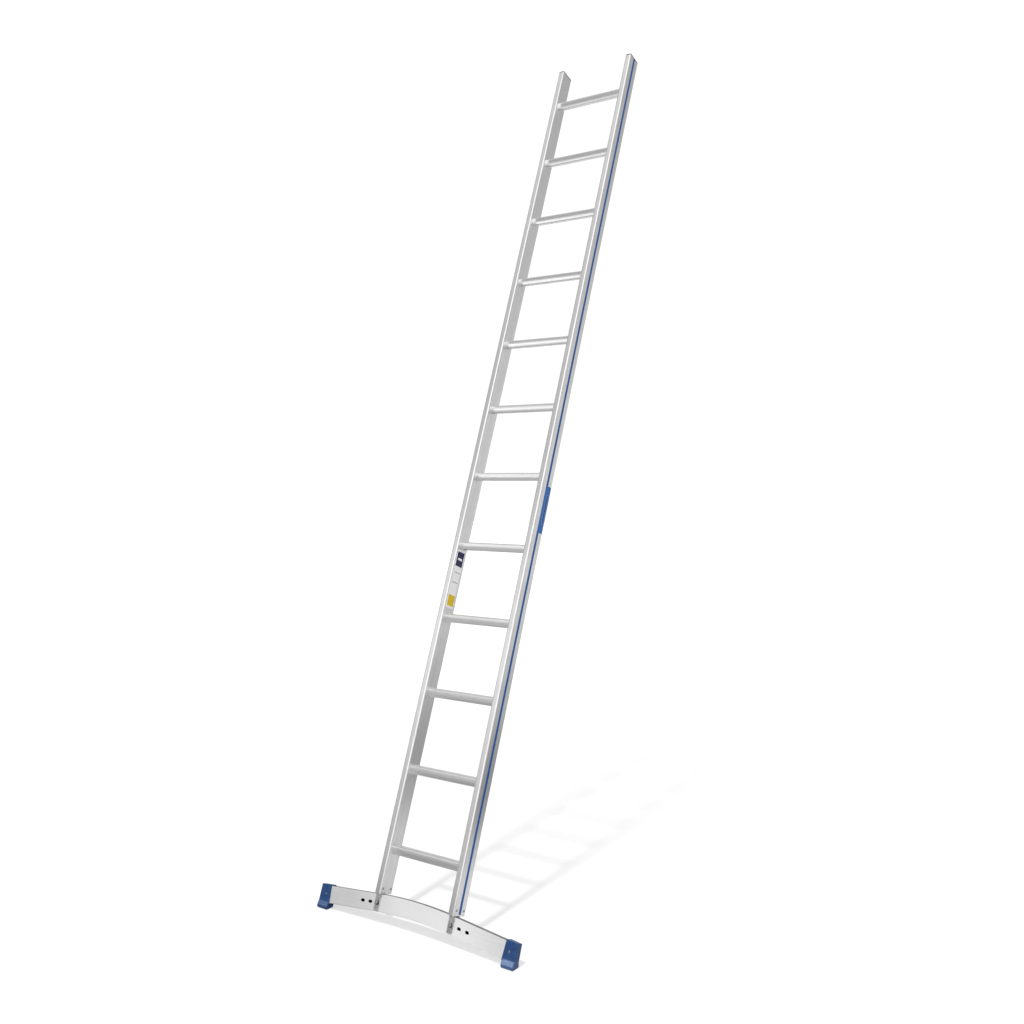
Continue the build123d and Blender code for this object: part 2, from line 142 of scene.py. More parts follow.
def start_finish(name, place=(0, 0, 0), lean=0.0, **constants):
    """A new finish: its tree, its Principled surface, and coordinates turned to the piece."""
    finish = bpy.data.materials.new(name)
    finish.use_nodes = True
    finishes[name] = finish
    tree = finish.node_tree
    surface = tree.nodes["Principled BSDF"]
    for socket, value in constants.items():
        surface.inputs[socket.replace("_", " ")].default_value = value
    coordinates = add(tree, "ShaderNodeTexCoord").outputs["Object"]
    inputs = {"Vector": coordinates, "Location": place, "Rotation": (-lean, 0, 0)}
    turned = add(tree, "ShaderNodeMapping", inputs, vector_type="TEXTURE").outputs[0]
    return tree, surface, turned


def noise(tree, place, scale, detail=2.0, rough=0.5):
    """Soft random grey, from 0 to 1. The three scales say how often it changes in a metre."""
    scaled = add(tree, "ShaderNodeVectorMath", {0: place, 1: scale}, operation="MULTIPLY")
    inputs = {"Vector": scaled.outputs[0], "Scale": 1.0, "Detail": detail, "Roughness": rough}
    return add(tree, "ShaderNodeTexNoise", inputs).outputs["Fac"]


def evenly(size):
    """Scales for noise that is as wide as given every way."""
    return [1 / size] * 3


print("helpers ready: start_finish, noise, evenly")

# %% [markdown]
# A pattern also has to know where it is and which way a face looks: dirt lies low down, and boots
# rub what looks up. These helpers measure both, mix colours by the result, and raise the surface.

# %% Measure places and faces, mix colours, raise the surface


def axis_of(tree, vector, axis):
    """One part of a vector: X, Y or Z."""
    return add(tree, "ShaderNodeSeparateXYZ", {0: vector}).outputs[axis]


def reach(tree, vector, way):
    """How far a vector goes in a direction."""
    inputs = {0: vector, 1: way}
    return add(tree, "ShaderNodeVectorMath", inputs, operation="DOT_PRODUCT").outputs["Value"]


def facing(tree, way):
    """How far a face looks in a direction: 1 if straight that way, 0 if sideways."""
    return reach(tree, add(tree, "ShaderNodeNewGeometry").outputs["Normal"], way)


def off_from(tree, value, centre):
    """How far a value is from a centre, either way."""
    return calculate(tree, "ABSOLUTE", calculate(tree, "SUBTRACT", value, centre))


def grey(level):
    return (level, level, level)


def mix_colours(tree, share, first, second):
    """The first colour where the share is 0, and the second where it is 1."""
    node = add(tree, "ShaderNodeMix", {0: share}, data_type="RGBA")
    for socket, colour in ((node.inputs[6], first), (node.inputs[7], second)):
        if isinstance(colour, bpy.types.NodeSocket):
            tree.links.new(colour, socket)
        else:
            socket.default_value = (*colour, 1)
    return node.outputs[2]


def bump(tree, surface, height, depth):
    """Raises the surface by up to the depth, in metres, where the height is 1."""
    inputs = {"Strength": 1.0, "Distance": depth, "Height": height}
    node = add(tree, "ShaderNodeBump", inputs)
    tree.links.new(node.outputs[0], surface.inputs["Normal"])


print("helpers ready: axis_of, reach, facing, off_from, grey, mix_colours, bump")

# %% [markdown]
# Drawn aluminium
#
# Stiles, rungs and bar are pulled through a steel die, which leaves fine lines and a few broader
# streaks along their whole length. The metal is left as it comes: satin, slightly cloudy, with
# short scuffs from being stacked.
# One function makes all three. Noise that is stretched a few hundred times along the length gives
# the lines, broader noise gives the streaks and the clouds, and the top slice of one more noise
# gives the scuffs. A photographed texture would repeat itself on a piece of this length.

# %% A drawn surface
# Sizes are in metres here and below, and shares run from 0 to 1.
LINE_WIDTH = 0.0009
LINE_LENGTH = 0.4
LINE_SHARE = 0.35
STREAK_WIDTH = 0.007
STREAK_LENGTH = 2.5
STREAK_SHARE = 0.35
CLOUD_SIZE = 0.09
CLOUD_SHARE = 0.30
SCUFF_WIDTH = 0.004
SCUFF_LENGTH = 0.025
SCUFF_SLICE = (0.66, 0.74)
SCUFF_ROUGHNESS = 0.12
SCUFF_HEIGHT = -0.5
DRAWN_DEPTH = 0.00003
NOISE_CORE = (0.35, 0.65)  # most of a noise lies in this range


def stretched(width, length, along):
    """Scales for noise that is as wide and as long as given, and runs along one axis."""
    scales = evenly(width)
    scales[along] = 1 / length
    return scales


def drawn_aluminium(name, bright, dull, along, rough, lean=0.0, bare=1.0, painted_light=None):
    """Along is the number of the axis that the die lines follow. Bare is 1 without any oxide."""
    tree, surface, place = start_finish(name, lean=lean, Metallic=bare)
    lines = noise(tree, place, stretched(LINE_WIDTH, LINE_LENGTH, along), detail=3)
    streaks = noise(tree, place, stretched(STREAK_WIDTH, STREAK_LENGTH, along), detail=2)
    clouds = noise(tree, place, evenly(CLOUD_SIZE), detail=4)
    scuffs = noise(tree, place, stretched(SCUFF_WIDTH, SCUFF_LENGTH, along), detail=5)
    scuffs = rescale(tree, scuffs, *SCUFF_SLICE)
    shade = product(tree, clouds, CLOUD_SHARE)
    shade = calculate(tree, "MULTIPLY_ADD", lines, LINE_SHARE, shade)
    shade = calculate(tree, "MULTIPLY_ADD", streaks, STREAK_SHARE, shade)
    shade = rescale(tree, shade, *NOISE_CORE)
    colour = mix_colours(tree, shade, dull, bright)
    # Painted light and shade, for the finishes that have them, go onto the colour here.
    if painted_light:
        colour = painted_light(tree, place, colour)
    tree.links.new(colour, surface.inputs["Base Color"])
    roughness = rescale(tree, calculate(tree, "SUBTRACT", 1.0, shade), 0.0, 1.0, *rough)
    roughness = calculate(tree, "MULTIPLY_ADD", scuffs, SCUFF_ROUGHNESS, roughness)
    tree.links.new(roughness, surface.inputs["Roughness"])
    height = calculate(tree, "MULTIPLY_ADD", scuffs, SCUFF_HEIGHT, lines)
    bump(tree, surface, height, DRAWN_DEPTH)


print("die lines are", LINE_WIDTH, "m wide and streaks", STREAK_WIDTH, "m")

# %% [markdown]
# The bar gets a painted highlight between the stiles, and painted shade along its upper edge.
# Through its slots one looks into the tube, whose back wall is painted near black as shade. The
# stiles get painted shade low down in front.
# The place decides how much painted light or shade a piece gets, and the way a face looks tells
# the upper edge, the front and the inside of the back wall from the rest.

# %% Painted light and shade on the bar and the stiles
# Painted highlight in the middle of the bar:
HIGHLIGHT_MIDDLE = 0.06
HIGHLIGHT_HALF = 0.10
HIGHLIGHT_END = 0.36
HIGHLIGHT_SHARE = 0.9
HIGHLIGHT_COLOUR = grey(0.97)
# Painted shade along the bar's upper edge:
UPPER_EDGE = (0.50, 0.85)
EDGE_SHADE_SHARE = 0.85
EDGE_SHADE = grey(0.16)
BAR_MIDDLE = middle("stabiliser_bar").dot(FRONT)
# Painted shade inside the tube, behind the slots:
STRAIGHT_ON = 0.7
TUBE_SHADE = grey(0.02)
# Painted shade low on the front of the stiles:
LOW_SHADE_FULL = 0.03
LOW_SHADE_TOP = 0.26
LOW_SHADE_SHARE = 0.45
LOW_SHADE_GREY = grey(0.30)
FRONT_FACE = (0.3, 0.8)


def painted_bar_light(tree, place, colour):
    """The colour with a painted highlight mid-bar, and painted shade on its upper edge and inside."""
    aside = off_from(tree, axis_of(tree, place, "X"), HIGHLIGHT_MIDDLE)
    painted_sheen = rescale(tree, aside, HIGHLIGHT_HALF, HIGHLIGHT_END, HIGHLIGHT_SHARE, 0.0, smooth=True)
    painted_shade = rescale(tree, facing(tree, UP), *UPPER_EDGE, 0.0, EDGE_SHADE_SHARE)
    behind = calculate(tree, "LESS_THAN", reach(tree, place, FRONT), BAR_MIDDLE)
    forward = calculate(tree, "GREATER_THAN", facing(tree, FRONT), STRAIGHT_ON)
    inside = product(tree, behind, forward)
    colour = mix_colours(tree, painted_sheen, colour, HIGHLIGHT_COLOUR)
    colour = mix_colours(tree, painted_shade, colour, EDGE_SHADE)
    return mix_colours(tree, inside, colour, TUBE_SHADE)


def painted_low_shade(tree, place, colour):
    """The colour darkened by painted shade on the front of a stile, less and less with the height."""
    height = axis_of(tree, place, "Z")
    low = rescale(tree, height, LOW_SHADE_FULL, LOW_SHADE_TOP, LOW_SHADE_SHARE, 0.0, smooth=True)
    front = rescale(tree, facing(tree, FRONT), *FRONT_FACE)
    return mix_colours(tree, product(tree, low, front), colour, LOW_SHADE_GREY)


ALONG_X, ALONG_Z = 0, 2
drawn_aluminium(
    "stile_metal", grey(0.88), grey(0.74), ALONG_Z, rough=(0.33, 0.43), lean=LEAN, painted_light=painted_low_shade
)
drawn_aluminium("rung_metal", grey(0.88), grey(0.79), ALONG_X, rough=(0.26, 0.34))
drawn_aluminium(
    "bar_metal", grey(0.80), grey(0.72), ALONG_X, rough=(0.56, 0.66), bare=0.8, painted_light=painted_bar_light
)
print("drawn finishes:", ", ".join(finishes))

# %% [markdown]
# Cast, plated and pressed metal
#
# The shoes between stile and bar are castings, with a dull, finely pebbled skin. Bolts, nuts and
# washers are steel under dull zinc, which dries in faint bluish and yellowish patches. The rivets
# are smooth, dull aluminium, and the ones in the feet are plated dark. They differ in colour,
# roughness and grain, so one function is enough again.
# Painted shade lies under a bolt's head, darkest at the washer and gone on the head's top.

# %% Small metal
HEAD_HEIGHT = 0.0053
HEAD_TOP = max(corner.co.dot(FRONT) for corner in nodes["stabiliser_bolts"].data.vertices)
# Painted shade under the bolts' heads:
UNSHADED_TOP = 0.001
WASHER_SHADE_SHARE = 0.95
WASHER_SHADE = grey(0.02)
GRAIN_SHARE = 0.6
PATCH_SHARE = 0.4
NOISE_MOST = (0.3, 0.7)  # nearly all of a noise lies in this range


def painted_head_shade(tree, place, colour):
    """The colour with painted shade at the washer under a bolt's head, none on the head's top."""
    level = reach(tree, place, FRONT)
    seat = HEAD_TOP - HEAD_HEIGHT
    painted_shade = rescale(tree, level, seat, HEAD_TOP - UNSHADED_TOP, WASHER_SHADE_SHARE, 0.0)
    in_front = calculate(tree, "GREATER_THAN", level, BAR_MIDDLE)
    return mix_colours(tree, product(tree, painted_shade, in_front), colour, WASHER_SHADE)


def small_metal(name, first, second, grain, patch, rough, depth, painted_light=None):
    """Grain and patch are sizes in metres: the grain is raised, and the patches mix the colours."""
    tree, surface, place = start_finish(name, Metallic=1.0)
    grains = noise(tree, place, evenly(grain), detail=3, rough=0.6)
    patches = noise(tree, place, evenly(patch), detail=3)
    colour = mix_colours(tree, rescale(tree, patches, *NOISE_CORE), first, second)
    # Painted shade, for the finishes that have it, goes onto the colour here.
    if painted_light:
        colour = painted_light(tree, place, colour)
    tree.links.new(colour, surface.inputs["Base Color"])
    uneven = product(tree, patches, PATCH_SHARE)
    uneven = calculate(tree, "MULTIPLY_ADD", grains, GRAIN_SHARE, uneven)
    tree.links.new(rescale(tree, uneven, *NOISE_MOST, *rough), surface.inputs["Roughness"])
    bump(tree, surface, grains, depth)


small_metal(
    "cast_metal", (0.40, 0.40, 0.41), grey(0.66),
    grain=0.0012, patch=0.012, rough=(0.38, 0.55), depth=0.00008,
)
small_metal(
    "zinc_steel", (0.40, 0.42, 0.45), (0.54, 0.53, 0.50),
    grain=0.0008, patch=0.006, rough=(0.24, 0.40), depth=0.00002, painted_light=painted_head_shade,
)
small_metal(
    "rivet_metal", (0.31, 0.31, 0.32), grey(0.41),
    grain=0.0010, patch=0.004, rough=(0.24, 0.36), depth=0.00002,
)
small_metal(
    "pin_steel", (0.12, 0.16, 0.24), (0.20, 0.24, 0.31),
    grain=0.0010, patch=0.004, rough=(0.30, 0.42), depth=0.00002,
)
print("finishes so far:", len(finishes))

# %% [markdown]
# Moulded plastic
#
# The feet are dark blue plastic out of a mould whose walls were etched to a fine grain. Near the
# floor a pale colour is painted on as a highlight, most of all on the sloping toe, which faces up
# into the light. The stile plugs are the same kind of plastic in dark grey, and get none of it.
# The height above the floor, straight from the coordinates, fades the painted highlight out, and
# the way a face looks tells the sloping toe from the upright sides. The right foot gets more of the
# painted highlight than the left one.

# %% Plastic
PLASTIC_GRAIN = 0.0007
PLASTIC_DEPTH = 0.00005
PLASTIC_GLOSS = 0.3
PLASTIC_ROUGH = (0.38, 0.48)
FLOW_SCALE = 45.0
# Painted highlight on the feet: near the floor, on the sloping toe, more on the right foot.
SHEEN_FULL = 0.024
SHEEN_TOP = 0.032
SHEEN_LEFT = 0.35
LEFT_TO_RIGHT = (-0.1, 0.1)
SLOPING = (0.40, 0.60)
UPRIGHT_SHARE = 0.25
SHEEN_NOISE_SCALE = 160.0
SHEEN_NOISE_RANGE = (0.30, 0.65)
SHEEN_LEAST = 0.35
RUB_ROUGHNESS = 0.2


def moulded_plastic(name, deep, light, pale, toe_sheen):
    """The last argument: how strongly the pale painted highlight shows near the floor, 0 to 1."""
    tree, surface, place = start_finish(name, Specular_IOR_Level=PLASTIC_GLOSS)
    grain = noise(tree, place, evenly(PLASTIC_GRAIN), detail=2)
    flow = noise(tree, place, [FLOW_SCALE] * 3, detail=3)
    colour = mix_colours(tree, rescale(tree, flow, *NOISE_CORE), deep, light)
    # The pale colour is a painted highlight, fading out above the floor.
    height = axis_of(tree, place, "Z")
    low = rescale(tree, height, SHEEN_FULL, SHEEN_TOP, toe_sheen, 0.0, smooth=True)
    side = rescale(tree, axis_of(tree, place, "X"), *LEFT_TO_RIGHT, SHEEN_LEFT, 1.0)
    sloping = rescale(tree, facing(tree, UP), *SLOPING, UPRIGHT_SHARE, 1.0)
    painted_sheen = noise(tree, place, [SHEEN_NOISE_SCALE] * 3, detail=5, rough=0.65)
    painted_sheen = rescale(tree, painted_sheen, *SHEEN_NOISE_RANGE, SHEEN_LEAST, 1.0)
    colour = mix_colours(tree, product(tree, low, painted_sheen, sloping, side), colour, pale)
    tree.links.new(colour, surface.inputs["Base Color"])
    roughness = rescale(tree, flow, *NOISE_MOST, *PLASTIC_ROUGH)
    roughness = calculate(tree, "MULTIPLY_ADD", low, RUB_ROUGHNESS, roughness)
    tree.links.new(roughness, surface.inputs["Roughness"])
    bump(tree, surface, grain, PLASTIC_DEPTH)


moulded_plastic(
    "foot_plastic",
    deep=(0.011, 0.041, 0.128),
    light=(0.017, 0.055, 0.162),
    pale=(0.226, 0.302, 0.458),
    toe_sheen=0.93,
)
moulded_plastic(
    "plug_plastic",
    deep=(0.035, 0.035, 0.038),
    light=(0.055, 0.055, 0.060),
    pale=grey(0.20),
    toe_sheen=0.0,
)
print("finishes so far:", len(finishes))

# %% [markdown]
# Films
#
# A blue strip lies in a groove along each stile, and two adhesive labels sit on the stiles. All are
# printed plastic film: even in colour, with a soft gloss and a faint ripple where they were rubbed
# down by hand.
# The labels carry plain blocks of colour. A block is drawn with no picture at all: the coordinates
# are moved to the label's middle, and a mask is 1 where both of them are inside the block's edges.

# %% Film
FILM_GLOSS = 0.2
FILM_ROUGH = (0.28, 0.40)
FADE_SCALE = 14.0
FADE_MOST = 0.03
FADED = (0.6, 0.62, 0.65)
RIPPLE_SCALE = 120.0
RIPPLE_DEPTH = 0.00006


def block(tree, place, across, along):
    """A mask that is 1 inside a block. Across and along are (middle, half size) in metres."""
    masks = []
    for axis, (centre, half) in (("Y", across), ("Z", along)):
        distance = off_from(tree, axis_of(tree, place, axis), centre)
        masks.append(calculate(tree, "LESS_THAN", distance, half))
    return product(tree, *masks)


def film(name, ground, blocks=(), place=(0, 0, 0)):
    """Film round a place. Each block is (across, along, colour), measured from that place."""
    tree, surface, place = start_finish(
        name, place=place, lean=LEAN, Specular_IOR_Level=FILM_GLOSS
    )
    colour = ground
    for across, along, paint in blocks:
        colour = mix_colours(tree, block(tree, place, across, along), colour, paint)
    fading = noise(tree, place, [FADE_SCALE] * 3, detail=3)
    fading = rescale(tree, fading, *NOISE_MOST, 0.0, FADE_MOST)
    tree.links.new(mix_colours(tree, fading, colour, FADED), surface.inputs["Base Color"])
    ripple = noise(tree, place, [RIPPLE_SCALE] * 3, detail=2)
    tree.links.new(rescale(tree, ripple, *NOISE_MOST, *FILM_ROUGH), surface.inputs["Roughness"])
    bump(tree, surface, ripple, RIPPLE_DEPTH)


FILM_BLUE = (0.010, 0.090, 0.335)
LABEL_BLUE = (0.032, 0.145, 0.450)
LABEL_WHITE = grey(0.88)
LABEL_GREY = (0.45, 0.45, 0.46)
LABEL_NAVY = (0.020, 0.022, 0.085)
LABEL_YELLOW = (0.72, 0.50, 0.015)
PALE_RIM = (0.30, 0.38, 0.52)
info_blocks = [
    ((0.0, 0.0200), (0.078, 0.028), LABEL_NAVY),
    ((0.0, 0.0120), (0.078, 0.004), LABEL_WHITE),
    ((0.0, 0.0170), (0.026, 0.002), LABEL_GREY),
    ((0.0, 0.0170), (-0.012, 0.002), LABEL_GREY),
    ((0.0, 0.0195), (-0.082, 0.021), LABEL_YELLOW),
]
side_blocks = [
    ((0.004, 0.0070), (0.0, 0.0560), PALE_RIM),
    ((0.004, 0.0055), (0.0, 0.0545), FILM_BLUE),
]
film("stripe_film", FILM_BLUE)
film("label_film", LABEL_WHITE, info_blocks, middle("info_label"))
film("side_label_film", LABEL_BLUE, side_blocks, middle("side_label"))
print("finishes in all:", len(finishes))

# %% [markdown]
# Put the finishes on
#
# The record that came with the CAD model says which finish every piece takes. Following it here
# means that no piece is forgotten and none gets a finish that the record does not know.

# %% Give every CAD piece its finish
slot_of = {row["node"]: row["material_slot"] for row in frame["record"]["subparts"]}
for name, node in nodes.items():
    node.data.materials.clear()
    node.data.materials.append(finishes[slot_of[name]])
print("finished", len(slot_of), "CAD pieces")

# %% [markdown]
# Growing pieces from a tree
#
# What repeats is made with Geometry Nodes: the shape is described once, with named sizes, and the
# tree sets it wherever it is needed. The result is then turned into a plain mesh, because instances
# and modifiers are left behind when a model is exported.

# %% Start a Geometry Nodes tree and turn its result into a mesh
SOCKET_KINDS = {
    int: "NodeSocketInt",
    float: "NodeSocketFloat",
    Vector: "NodeSocketVector",
    bpy.types.Material: "NodeSocketMaterial",
}
SHARP_ANGLE = 0.6  # radians


def start_tree(name, sizes):
    """A new tree with one named input for each size. Returns the tree and its inputs' sockets."""
    tree = bpy.data.node_groups.new(name, "GeometryNodeTree")
    tree.interface.new_socket("Geometry", in_out="INPUT", socket_type="NodeSocketGeometry")
    for label, value in sizes.items():
        tree.interface.new_socket(label, in_out="INPUT", socket_type=SOCKET_KINDS[type(value)])
    tree.interface.new_socket("Geometry", in_out="OUTPUT", socket_type="NodeSocketGeometry")
    return tree, tree.nodes.new("NodeGroupInput").outputs


def end_tree(tree, geometry, finish, sharp=SHARP_ANGLE):
    """Makes the shape real, smooth between its sharp edges, and gives it its finish."""
    angle = add(tree, "GeometryNodeInputMeshEdgeAngle").outputs["Unsigned Angle"]
    soft = calculate(tree, "LESS_THAN", angle, sharp)
    shape = add(tree, "GeometryNodeRealizeInstances", {"Geometry": geometry}).outputs[0]
    shape = add(tree, "GeometryNodeSetShadeSmooth", {"Geometry": shape}, domain="FACE").outputs[0]
    inputs = {"Geometry": shape, "Shade Smooth": soft}
    shape = add(tree, "GeometryNodeSetShadeSmooth", inputs, domain="EDGE").outputs[0]
    inputs = {"Geometry": shape, "Material": finish}
    shape = add(tree, "GeometryNodeSetMaterial", inputs).outputs[0]
    tree.links.new(shape, tree.nodes.new("NodeGroupOutput").inputs[0])


def grow(name, tree, sizes, points=(), axes=()):
    """A plain mesh grown from the tree. Points and axes say where its copies stand and face."""
    mesh = bpy.data.meshes.new(name)
    mesh.from_pydata([tuple(point) for point in points], [], [])
    if axes:
        ways = mesh.attributes.new("facing", "FLOAT_VECTOR", "POINT")
        for entry, axis in zip(ways.data, axes):
            entry.vector = axis
    piece = bpy.data.objects.new(name, mesh)
    bpy.context.scene.collection.objects.link(piece)
    modifier = piece.modifiers.new(name, "NODES")
    modifier.node_group = tree
    for item in tree.interface.items_tree:
        if item.in_out == "INPUT" and item.name in sizes:
            modifier[item.identifier] = sizes[item.name]
    evaluated = piece.evaluated_get(bpy.context.evaluated_depsgraph_get())
    grown = bpy.data.meshes.new_from_object(evaluated)
    piece.modifiers.remove(modifier)
    piece.data = grown
    grown.name = name
    print(name, "has", len(grown.vertices), "points and", len(grown.polygons), "faces")
    return piece


print("helpers ready: start_tree, end_tree, grow")

# %% [markdown]
# Every shape below is bent from a simple one: each point's place is read, worked on and written
# back. Then shapes are joined into one piece, or set on points that say which way to face.

# %% Bend, move and join shapes


def position(tree):
    """The X, Y and Z of every point."""
    place = add(tree, "GeometryNodeInputPosition").outputs[0]
    return add(tree, "ShaderNodeSeparateXYZ", {0: place}).outputs


def bent(tree, shape, x, y, z=0.0):
    """The shape with its points at new places."""
    place = add(tree, "ShaderNodeCombineXYZ", {0: x, 1: y, 2: z}).outputs[0]
    inputs = {"Geometry": shape, "Position": place}
    return add(tree, "GeometryNodeSetPosition", inputs).outputs[0]


def from_axis(tree, x, y):
    """How far a point is from the Z axis."""
    square = calculate(tree, "MULTIPLY_ADD", x, x, product(tree, y, y))
    return calculate(tree, "SQRT", square)


def lowered(tree, shape, length, share):
    """The shape moved down by a share of a length."""
    drop = add(tree, "ShaderNodeCombineXYZ", {2: product(tree, length, -share)}).outputs[0]
    inputs = {"Geometry": shape, "Translation": drop}
    return add(tree, "GeometryNodeTransform", inputs).outputs[0]


def joined(tree, *shapes):
    node = add(tree, "GeometryNodeJoinGeometry")
    for shape in shapes:
        tree.links.new(shape, node.inputs[0])
    return node.outputs[0]


def set_on_points(tree, given, shape):
    """A copy of the shape on every given point, with its top the way the point faces."""
    inputs = {"Name": "facing"}
    way = add(tree, "GeometryNodeInputNamedAttribute", inputs, data_type="FLOAT_VECTOR").outputs[0]
    turn = add(tree, "FunctionNodeAlignRotationToVector", {"Vector": way}, axis="Z").outputs[0]
    inputs = {"Points": given["Geometry"], "Instance": shape, "Rotation": turn}
    return add(tree, "GeometryNodeInstanceOnPoints", inputs).outputs[0]


def drawn_curve(tree, value, points):
    """A Float Curve through the points, fed with the value."""
    node = add(tree, "ShaderNodeFloatCurve", {"Value": value})
    curve = node.mapping.curves[0]
    for place in points[1:-1]:
        curve.points.new(*place)
    for point, place in zip(curve.points, points):
        point.location = place
    node.mapping.update()
    return node.outputs[0]


print("helpers ready: position, bent, from_axis, lowered, joined, set_on_points, drawn_curve")

# %% [markdown]
# Rungs
#
# The rungs are what a ladder is about, and they follow one rule: a rounded section reaches from
# stile to stile, is swaged so that a bead stands against each of them, and is repeated at an even
# pitch. The section is turned so that the tread is level at the climbing angle.
# Modelling one rung and copying it by hand would work too. In the tree the section, the bead and the
# pitch stay numbers, so a longer ladder or a wider one is a change of one value.

# %% The section of a rung
rung_sizes = {
    "Start": middle(rung_names[0]),
    "Step": rung_step,
    "Count": len(rung_names),
    "Half length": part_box(rung_names[0])[1].x,
    "Stile face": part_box("stile_right")[0].x,
    "Depth": 0.027,
    "Height": 0.030,
    "Crown": 0.0023,
    "Corner": 0.0035,
    "Flute pitch": 0.0028,
    "Flute rows": 4.0,
    "Flute radius": 0.0006,
    "Bead proud": 0.0006,
    "Bead length": 0.0015,
    "Finish": finishes["rung_metal"],
}
SECTION_POINTS = 360
CORNER_POINTS = 10
FLAT_RISE = 0.98  # past this rise a point lies on the tread or the underside


def rounded_box(tree, given):
    inputs = {"Width": given["Depth"], "Height": given["Height"]}
    box = add(tree, "GeometryNodeCurvePrimitiveQuadrilateral", inputs).outputs[0]
    inputs = {"Curve": box, "Count": CORNER_POINTS, "Radius": given["Corner"]}
    box = add(tree, "GeometryNodeFilletCurve", inputs, mode="POLY").outputs[0]
    inputs = {"Curve": box, "Count": SECTION_POINTS}
    return add(tree, "GeometryNodeResampleCurve", inputs).outputs[0]


def flutes(tree, given, x):
    """How deep the grip flutes are cut at a place across the tread."""
    pitch = given["Flute pitch"]
    row = calculate(tree, "FRACT", calculate(tree, "DIVIDE", x, pitch))
    aside = product(tree, calculate(tree, "SUBTRACT", row, 0.5), pitch)
    square = calculate(tree, "POWER", given["Flute radius"], 2.0)
    square = calculate(tree, "SUBTRACT", square, product(tree, aside, aside))
    cut = calculate(tree, "SQRT", calculate(tree, "MAXIMUM", square, 0.0))
    half_width = product(tree, given["Flute rows"], 0.5, pitch)
    fluted = calculate(tree, "LESS_THAN", calculate(tree, "ABSOLUTE", x), half_width)
    return product(tree, cut, fluted)


def rung_section(tree, given):
    """A rounded box curve, crowned in front and behind and fluted above and below."""
    box = rounded_box(tree, given)
    x, y, _ = position(tree)
    half_depth = product(tree, given["Depth"], 0.5)
    half_height = product(tree, given["Height"], 0.5)
    rise = calculate(tree, "DIVIDE", calculate(tree, "ABSOLUTE", y), half_height)
    rise = calculate(tree, "POWER", rise, 2.0)
    pinch = product(tree, rise, calculate(tree, "DIVIDE", given["Crown"], half_depth))
    crowned = product(tree, x, calculate(tree, "SUBTRACT", 1.0, pinch))
    flat = calculate(tree, "GREATER_THAN", rise, FLAT_RISE)
    cut = product(tree, flutes(tree, given, crowned), flat, calculate(tree, "SIGN", y))
    return bent(tree, box, crowned, calculate(tree, "SUBTRACT", y, cut))


print("section:", SECTION_POINTS, "points,", rung_sizes["Depth"], "by", rung_sizes["Height"], "m")

# %% [markdown]
# A line from stile to stile carries the section, and a second, short line carries it again a little
# larger for the bead. A Float Curve draws how the bead swells: it rises in a quarter circle and
# stays full up to the stile. The far bead is the near one turned half round, which keeps its faces
# pointing outward.

# %% Sweep and repeat the rungs
BEAD_SWELL = [(0.0, 0.0), (0.08, 0.55), (0.2, 0.86), (0.36, 1.0), (1.0, 1.0)]
BEAD_RINGS = 6
HALF_TURN = (0, 0, math.pi)


def along_x(tree, first, last, count):
    """A straight line along X, cut into a number of points."""
    ends = [add(tree, "ShaderNodeCombineXYZ", {0: x}).outputs[0] for x in (first, last)]
    inputs = {"Start": ends[0], "End": ends[1]}
    line = add(tree, "GeometryNodeCurvePrimitiveLine", inputs).outputs[0]
    return add(tree, "GeometryNodeResampleCurve", {"Curve": line, "Count": count}).outputs[0]


def swept(tree, line, section, scale=1.0):
    """The section carried along the line, closed at both ends."""
    inputs = {"Curve": line, "Profile Curve": section, "Scale": scale, "Fill Caps": True}
    return add(tree, "GeometryNodeCurveToMesh", inputs).outputs[0]


def swaged_rungs():
    """The tree that makes every rung."""
    tree, given = start_tree("swaged_rungs", rung_sizes)
    section = rung_section(tree, given)
    far_end = product(tree, given["Half length"], -1.0)
    tube = swept(tree, along_x(tree, far_end, given["Half length"], 2), section)
    bead_start = calculate(tree, "SUBTRACT", given["Stile face"], given["Bead length"])
    bead = along_x(tree, bead_start, given["Stile face"], BEAD_RINGS)
    along = add(tree, "GeometryNodeSplineParameter").outputs["Factor"]
    proud = calculate(tree, "DIVIDE", given["Bead proud"], product(tree, given["Height"], 0.5))
    swell = calculate(tree, "MULTIPLY_ADD", drawn_curve(tree, along, BEAD_SWELL), proud, 1.0)
    near_bead = swept(tree, bead, section, swell)
    inputs = {"Geometry": near_bead, "Rotation": HALF_TURN}
    far_bead = add(tree, "GeometryNodeTransform", inputs).outputs[0]
    rung = joined(tree, tube, near_bead, far_bead)
    inputs = {"Count": given["Count"], "Start Location": given["Start"], "Offset": given["Step"]}
    places = add(tree, "GeometryNodeMeshLine", inputs).outputs[0]
    inputs = {"Points": places, "Instance": rung}
    row = add(tree, "GeometryNodeInstanceOnPoints", inputs).outputs[0]
    end_tree(tree, row, given["Finish"])
    return tree


rungs = grow("rungs", swaged_rungs(), rung_sizes)
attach(rungs, "root")
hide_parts(*rung_names)

# %% [markdown]
# Rivets
#
# Blind rivets fasten the shoes in the stiles, and one holds each foot on the bar. Their places and
# directions could be typed in again, but then they would miss their holes as soon as the ladder
# changes. So they are measured on the CAD rivets, one solid at a time.

# %% Find the separate solids of a CAD piece
import bmesh

SAME_POINT = 1e-6
RIM_SHARE = 0.95
MILLIMETRE = 0.001


def average(solid):
    """The average of a solid's corner points, rounded so that it sorts in a fixed order."""
    return [round(sum(point[axis] for point in solid) / len(solid), 5) for axis in range(3)]


